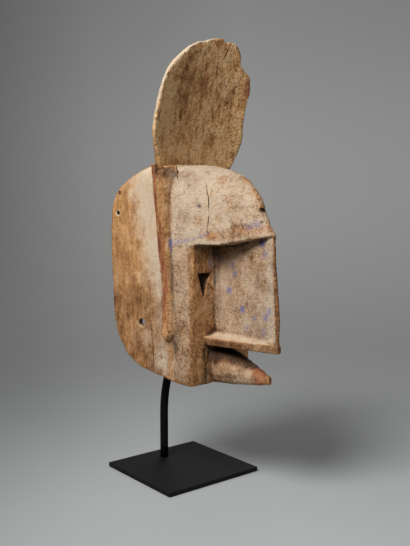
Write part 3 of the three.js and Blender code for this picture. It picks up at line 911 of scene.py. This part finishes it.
def paint_forehead(s):
    """A worn pale wash, browner to the front, with a reddish band and a pale edge over the brow."""
    x, u, z, p = s.x, s.u, s.z, s.p
    brow_edge = np.interp(-u, *BROW_EDGE)
    over = z - brow_edge
    s.brow = brow = ramp(over, -1.5, 1) * ramp(-u, 55, 60) * s.open * (1 - s.crest)
    s.lay(brow, wash=0.45 + 0.2 * fall(-u, 105, 150) + 0.08 * s.patch)
    s.lay(brow, tone=0.06 * s.mottle - 0.06 - 0.05 * ramp(-u, 100, 150))
    s.lay(brow, coarse=0.44 - 0.14 * zone(-u, 110, 165, 12))
    s.lay(brow * ramp(s.n[:, 2], 0.2, 0.6), dirt=0.2 * (1 + 0.5 * s.patch))
    s.lay(brow * ramp(z, 385, 425) * fall(x, -40, -28), dirt=0.18 * (1 + 0.6 * s.mottle))
    s.spots(FOREHEAD_DIRT, brow, dirt=1)
    s.spots(FOREHEAD_DIRT[:1], brow, tone=-0.5)
    stain = brow * ramp(noise(p, (11, 11, 15), 103, 3), 0.05, 0.75) * (0.35 + 0.65 * ramp(-u, 85, 130))
    s.lay(stain, wash=-0.26, red=0.1)
    s.spots(FOREHEAD_STAINS, brow * ramp(s.mottle, -1, 0.5), wash=-0.36, red=0.12, dirt=0.08)
    band = brow * zone(over, 5, 17, 4) * ramp(-u, 88, 125)
    s.lay(band, wash=-0.24, red=0.34 * ramp(s.patch, -0.6, 0.5))
    s.pale_edge = brow * zone(over, -2, 4.5, 1.2)
    # Painted shadow: a dark line under the brow's edge
    shade_line = s.open * zone(over, -3, 0.9, 0.5) * zone(-u, 96, 150, 6) * fall(-s.n[:, 2], 0.7, 0.9)
    s.lay(shade_line, dirt=0.9)
    s.lay(brow * blob(p, KNOT, (6, 6, 3.5)), blue=0.5)
    s.lay(brow * zone(z, 437, 447, 3), wash=0.25)
    s.lay(brow * zone(z, 428, 447, 4), dirt=0.08 * ramp(s.streak, -0.2, 0.8))
    fold = s.open * zone(z, 434, 444, 2) * ramp(s.n[:, 2], 0.1, 0.4) * fall(abs(x), 38, 44)
    s.lay(fold, wash=0.75, tone=-0.05)


def paint_ears(s):
    """Rust-red strips down their outer faces, with painted highlights along their back borders and yellowish
    lower tips.
    """
    u, z = s.u, s.z
    ear = ramp(abs(s.x) - side_half(u), 2.5, 4.5) * zone(u, -64, -36, 2) * (1 - s.crest) * fall(z, 438, 446)
    strip = ear * ramp(s.out, 0.45, 0.8)
    below = fall(z, 214, 240)
    # A painted highlight along the strip's back border
    highlight_border = strip * ramp(u - EAR_DEPTH - np.interp(z, *EAR_THICKNESS) / 2, -2.6, -0.8)
    rust = 0.8 + 1.3 * s.thread + 0.6 * s.mottle + 0.3 * s.streak
    upper = strip * (1 - below)
    s.lay(upper, red=rust * (1 - 0.8 * highlight_border), tone=-0.14 * (1 + 0.8 * s.thread))
    s.lay(upper, dirt=0.55 * ramp(s.thread + 0.5 * s.mottle, 0, 0.7))
    s.lay(strip, tone=0.12 * below, wash=0.45 * ramp(z, 425, 437) - 0.22 + 0.1 * below)
    s.red *= 1 - 0.9 * strip * below
    s.lay(highlight_border, wash=0.4)
    s.lay(ear * fall(s.out, 0.3, 0.7), tone=0.06 + 0.14 * s.thread, wash=-0.14)
    s.lay(ear, coarse=0.2)
    foot = s.open * zone(z, 424, 443, 3) * ramp(abs(s.x), 40, 45) * ramp(-s.n[:, 1], 0.2, 0.6)
    s.lay(foot, tone=-0.24, wash=0.1 * (1 + s.mottle), dirt=0.05 * ramp(s.mottle, -0.8, 0.5))
    root = s.outer * ramp(u, -61, -56) * fall(u, -50, -46) * ramp(z, 335, 350) * (1 - strip)
    s.lay(root, tone=-0.04 * ramp(z, 380, 430), wash=-0.1 - 0.14 * ramp(z, 365, 400))
    # Painted shade in the crease along the ear's front edge
    shade_line = fall(distance_to_path(s.p, EAR_SHADE_LINE), 0.8, 2.6)
    s.lay(shade_line, dirt=0.38 * np.clip(0.7 + 0.9 * s.mottle, 0, 1))
    # Painted shadow below the ear's tip
    s.lay(blob(s.p, (-58.5, -62, 202), (9, 11, 17)), dirt=0.8 * ramp(s.mottle, -1.2, 0.3))


def paint_face(s):
    """The cheek, the face under the brow, the nose, the lip and the beak."""
    x, u, z, p = s.x, s.u, s.z, s.p
    y = p[:, 1]
    width = abs(x)
    under = s.open * (1 - s.brow) * fall(z, 350, 353)
    nose = under * fall(width, 12.5, 15) * ramp(-u, 86, 89) * ramp(z, 215, 219) * fall(-s.n[:, 2], 0.4, 0.7)
    face = under * ramp(-s.n[:, 1], 0.6, 0.85) * zone(u, -94, -80, 3) * (1 - nose)
    cheek = under * s.outer * zone(u, -89, -56, 1.5)
    lip = under * zone(z, 201, 218, 1.2) * ramp(-u, 86, 90) * (1 - nose)
    beak = under * fall(z, 200, 204) * ramp(-u, 84, 88) * fall(width, 24, 29) * (1 - face)

    up = ramp(z, 215, 300)
    s.lay(cheek, wash=0.06 + 0.24 * up, tone=0.13 * up - 0.27, coarse=0.1)
    s.lay(cheek, dirt=0.3 * ramp(s.mottle, 0.1, 0.9) * fall(z, 270, 330))
    worn = zone(u, -89.5, -82, 1.6) * s.outer * fall(z, 328, 336)
    s.lay(worn, wash=-0.3, red=0.1 * ramp(s.streak, -0.6, 0.4))

    s.lay(face, wash=-0.2, tone=0.08 * s.mottle - 0.1 - 0.05 * ramp(z, 280, 320), coarse=0.2)
    inner = face * fall(width, 22, 32)
    s.lay(inner, wash=0.3 * ramp(s.mottle, -0.2, 0.8), dirt=0.35 * ramp(s.mottle + 0.5 * s.thread, 0, 0.9))
    corner = under * zone(width, 12.5, 15.5, 1.6) * zone(u, -95, -82, 3) * ramp(z, 212, 225)
    s.lay(corner, dirt=0.3 * (0.7 + 0.8 * s.mottle))
    seam = face * zone(x, -36, -20, 4) * fall(z, 196, 202)
    s.lay(seam, dirt=0.72 * ramp(s.thread + 0.6 * s.mottle, -0.5, 0.6))

    s.lay(nose, wash=0.32 + 0.05 * s.patch - 0.2 * ramp(z, 280, 318), coarse=0.12)
    s.lay(nose, tone=-0.15 - 0.04 * ramp(-u, 120, 160) - 0.05 * ramp(z, 280, 310))
    s.lay(nose, dirt=0.3 * ramp(s.mottle, 0.25, 1))
    s.lay(nose * fall(-u, 90, 102) * ramp(z, 232, 265), dirt=0.34 * (1 + 0.5 * s.mottle))
    cloud = ramp(noise(p, (12, 12, 16), 107, 2), 0.1, 0.8)
    s.lay(nose, wash=-0.1 * np.maximum(cloud, 1.8 * blob(p, (-6, -139, 280), (12, 20, 18))))
    s.lay(nose * zone(u, -192, -181, 1.5), wash=0.25)
    s.lay(nose * ramp(-u, 193.2, 194.7), wash=-0.45, tone=-0.16, red=0.12)

    # Painted shade right under the brow, and painted light lower down beside the nose
    shade = under * ramp(z, 306, 318) * ramp(-u, 84, 88) * fall(-u, 118, 168)
    start = np.interp(-u, *PAINTED_SHADE_START)
    painted_brow_shade = shade * ramp(z, start, start + 10)
    painted_light = (shade - painted_brow_shade) * (0.15 + 0.85 * ramp(-u, 94, 110)) * fall(-u, 128, 150)
    s.lay(painted_brow_shade, dirt=0.34 * (1 + 0.3 * s.mottle), wash=-0.14)
    s.lay(painted_light, dirt=-0.25, wash=0.36, tone=0.22)
    # Painted shade under the brow's edge, nearest the face
    s.lay(under * ramp(z, 326, 340) * ramp(-u, 82, 86) * fall(-u, 98, 132), dirt=0.45)
    s.shut *= 1 - 0.7 * shade

    # The pale wash lies on the lip's top; below it the lip is darkened as painted shade
    top = ramp(s.n[:, 2], 0.3, 0.7)
    s.lay(lip * top, wash=0.5, tone=-0.06)
    s.lay(lip * (1 - top), wash=-0.12, tone=-0.36)
    s.lay(lip, coarse=-0.25)

    along = noise(p, (5, 26, 5), 109, 2)
    s.lay(beak, tone=0.18 * along - 0.2, wash=0.12 + 0.1 * along + 0.1 * ramp(-y, 120, 145))
    # Painted shadow of the lip over the beak's top, and painted shade at its root, both with dirt
    bound = 187 + 0.16 * (y + 110) - 9 * ramp(y, -118, -98)
    s.lay(beak * ramp(z - bound + 2.5 * s.mottle, -7, 5), dirt=0.6, tone=-0.45, wash=-0.7)
    s.lay(beak * ramp(y, -112, -90), dirt=0.45 * ramp(s.mottle, -1.2, 0.5))
    tip = beak * ramp(-y, 150, 168)
    s.lay(tip, red=(0.62 + 0.6 * s.mottle) * (1 - 0.6 * ramp(-y, 172, 181)), tone=-0.02, wash=-0.24)
    s.lay(beak * ramp(-y, 172, 180), tone=-0.08, wash=-0.22)


def paint_blue(s):
    """Soft spots of blue paint on the nose, and a faint line of strokes over the brow."""
    p = s.p
    broken = 0.75 + 0.45 * s.mottle
    s.lay(blob(p, BLUE_SPOTS[0][0], 5), dirt=0.5)
    for centre, radius, strength in BLUE_SPOTS:
        s.blue = np.maximum(s.blue, (0.35 + 1.1 * strength) * blob(p, centre, radius * 1.7) * broken)
    along = np.linalg.norm(p - np.array(BLUE_LINE[0]), axis=1)
    dashes = 0.55 + 0.45 * ramp(np.cos(along * 2 * math.pi / BLUE_LINE_STEP), -0.6, 0.5)
    for path, strength, inner, outer in ((BLUE_LINE, 0.62 * dashes, 1.4, 4.6), *BLUE_STROKES):
        s.blue = np.maximum(s.blue, strength * fall(distance_to_path(p, path), inner, outer) * broken)


def paint(mesh):
    """The wood's tone and what lies on it, as values on the mesh that the material reads."""
    s = Surface(mesh)
    for work in (paint_crest, paint_sides, paint_forehead, paint_ears, paint_face, paint_blue):
        work(s)

    # The hollow is darker and bare
    s.lay(s.hollow, tone=-0.26, wash=-0.5)

    # Handling polishes the edges to a warm brown, and the colour is darker in nooks and where near walls
    # shut in the surface
    beak_root = fall(s.z, 200, 204) * zone(-s.u, 80, 130, 6) * fall(abs(s.x), 26, 32)
    at_foot = zone(s.z, 432, 446, 3) * ramp(-s.n[:, 1], 0, 0.5)
    bare_edge = s.edge * (1 - s.rim) * (1 - s.pale_edge) * (1 - beak_root) * (1 - 0.8 * at_foot)
    s.lay(bare_edge, tone=0.5 * (0.52 + 0.12 * s.patch + 0.14 * s.crest - s.tone), wash=-0.35)
    s.lay(1 - at_foot, dirt=0.45 * s.nook + 0.85 * ramp(s.shut, 0.15, 0.6))

    for name, values in (("wood", (s.tone, s.wash, s.red)), ("marks", (s.blue, s.dirt, s.coarse))):
        colours = np.ones((len(s.p), 4))
        colours[:, :3] = np.clip(values, 0, 1).T
        layer = mesh.attributes.new(name, "FLOAT_COLOR", "POINT")
        layer.data.foreach_set("color", colours.ravel())


def wood_material():
    """Bare wood with upright grain, under what is left of a pale wash, red strips, blue dots and dirt, with
    painted light and shade laid in the same colours.
    """
    material, t = new_material("weathered_wood")
    where = t.place()
    tone, wash, red = t.channels("wood")
    blue, dirt, coarse = t.channels("marks")

    upright = t.node("ShaderNodeMapping", {"Vector": where, "Scale": (1, 1, 0.11)}).outputs[0]
    grain = t.noise(upright, 420, 4, 0.6)
    bands = t.noise(upright, 130, 2)
    speck = t.noise(where, 520, 2, 0.6)
    flake = t.noise(where, 210, 4, 0.65)
    lumps = t.noise(where, 250, 3, 0.55)
    pores = t.math("MULTIPLY", t.ease(t.noise(where, 300, 3, 0.6), 0.55, 0.78), coarse)
    folds = t.math("ABSOLUTE", t.math("SUBTRACT", t.noise(where, 95, 3, 0.55), 0.5))
    folds = t.math("MULTIPLY", t.ease(folds, 0.0, 0.04, 1, 0), coarse)
    strong = t.math("MULTIPLY_ADD", coarse, 1.3, 0.3)
    spots = t.math("MULTIPLY", t.plus(t.spread(speck, 0.9), t.spread(lumps, 0.7)), strong)

    full = t.plus(t.plus(tone, t.spread(grain, 0.45)), t.spread(bands, 0.22))
    full = t.plus(t.plus(full, spots, 0.8), folds, -0.12)
    colour = t.shades(full, BARE_WOOD)

    cover = t.plus(wash, t.spread(flake, 0.5))
    cover = t.plus(t.plus(cover, spots, 0.6), folds, -0.25)
    cover = t.ease(cover, -0.1, 1.1, 0, 0.9)
    rust = t.ease(t.plus(red, t.spread(flake, 0.5)), 0.05, 1, 0, 0.85)
    dots = t.ease(t.plus(blue, t.spread(flake, 0.45)), 0.02, 0.85, 0, 0.85)
    # Dirt, and painted shade, darken the colour here
    grime_and_shade = t.ease(t.plus(dirt, t.spread(speck, 0.5)), 0.05, 1, 0, 0.9)
    grime_and_shade = t.math("MAXIMUM", grime_and_shade, t.math("MULTIPLY", pores, 0.36))
    for share, layer in ((cover, WASH_AND_LIGHT), (rust, RED), (dots, BLUE), (grime_and_shade, DIRT_AND_SHADE)):
        colour = t.mix(share, colour, linear(layer))

    height = 0
    for part, gain in ((grain, 0.8), (spots, 1), (flake, 0.8), (cover, 0.3), (pores, -0.4), (folds, -0.5)):
        height = t.plus(height, part, gain)
    t.finish({
        "Base Color": colour,
        "Roughness": t.ease(cover, 0, 1, 0.62, 0.88, "LINEAR"),
        "Specular IOR Level": 0.22,
        "Normal": t.bump(height, 0.7, 0.0012),
    })
    return material


def crack_material():
    """The dark, torn wood inside a crack."""
    material, t = new_material("crack_wood")
    colour = t.mix(t.noise(t.place(), 600, 3), linear(CRACK_DARK), linear(CRACK_PALE))
    t.finish({"Base Color": colour, "Roughness": 0.9, "Specular IOR Level": 0.1})
    return material


def make_mask():
    piece = mask_piece()
    carve(piece.data)
    cut_cracks(piece, (wood_material(), crack_material()))
    paint(piece.data)


# The stand

def bend(start, turn, end, count):
    """Points along a curve from start to end, drawn towards its turning point."""
    for k in range(count + 1):
        t = k / count
        yield tuple((1 - t) ** 2 * a + 2 * t * (1 - t) * b + t * t * c for a, b, c in zip(start, turn, end))


def rod_path():
    """The rod's middle line, as (y, z) in millimetres."""
    path = [(46, 6.3), (46, 30), (46, 55)]
    path += bend((46, 72), (46, 125.5), (16.08, 169.86), 20)
    path += [(-3.83, 199.38)]
    path += bend((-23.74, 228.9), (-34, 244.1), (-34, 262.45), 12)
    path += [(-34, z) for z in (290, 330, 370, 400, 425.7)]
    return path


def make_rod(material):
    points = [np.array((0, y * MM, z * MM)) for y, z in rod_path()]
    shape = bmesh.new()
    rings = []
    for k, at in enumerate(points):
        way = heading(points, k)
        way /= np.linalg.norm(way)
        up = np.array((0, -way[2], way[1]))
        ring = []
        for s in range(ROD_SIDES):
            a = 2 * math.pi * s / ROD_SIDES
            off = np.array((math.cos(a), 0, 0)) + up * math.sin(a)
            ring.append(shape.verts.new(at + off * ROD_RADIUS))
        rings.append(ring)
    bridge(shape, rings)
    bmesh.ops.recalc_face_normals(shape, faces=shape.faces)
    for face in shape.faces:
        face.smooth = len(face.verts) == 4
    mesh = mesh_of("rod", shape)
    mesh.materials.append(material)
    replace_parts(new_object("rod", mesh, "rod_steel"), "stand_rod")


def make_plate(material):
    low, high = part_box("stand_plate")
    shape = bmesh.new()
    bmesh.ops.create_cube(shape, size=1)
    for v in shape.verts:
        v.co = Vector(((low[k] + high[k]) / 2 + v.co[k] * (high[k] - low[k]) for k in range(3)))
    upright = [e for e in shape.edges if abs(e.verts[0].co.z - e.verts[1].co.z) > 0.001]
    bmesh.ops.bevel(shape, geom=upright, offset=PLATE_CORNER, segments=4, profile=0.5, affect="EDGES")
    flat = [f for f in shape.faces if abs(f.normal.z) > 0.9]
    rim = list({e for f in flat for e in f.edges})
    bmesh.ops.bevel(shape, geom=rim, offset=PLATE_BEVEL, segments=3, profile=0.5, affect="EDGES")
    mesh = mesh_of("plate", shape)
    mesh.materials.append(material)
    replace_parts(new_object("plate", mesh, "plate_steel"), "stand_plate")


def steel_material(name, colour, gloss, dusty):
    """Black paint on steel, with dust and fine scratches."""
    material, t = new_material(name)
    where = t.place()
    cloud = t.noise(where, 60, 6)
    dust = t.ease(t.noise(where, 700, 2), 0.55, 0.8)
    darker, paler = (tuple(c * share for c in linear(colour)) for share in (0.8, 1.3))
    shade = t.mix(t.ease(cloud, 0.3, 0.75), darker, paler)
    t.finish({
        "Base Color": t.mix(t.math("MULTIPLY", dust, dusty), shade, linear(DUST)),
        "Roughness": t.ease(cloud, 0, 1, 0.54, 0.68, "LINEAR"),
        "Specular IOR Level": gloss,
        "Normal": t.bump(t.noise(where, 900, 2), 0.25, 0.0002),
    })
    return material


SCENE.view_settings.view_transform = "Standard"
make_camera()
make_world()
make_floor()
for lamp in LAMPS:
    make_lamp(*lamp)
make_mask()
make_rod(steel_material("black_rod", ROD_BLACK, gloss=0.12, dusty=0.008))
make_plate(steel_material("black_plate", PLATE_BLACK, gloss=0.14, dusty=0.02))
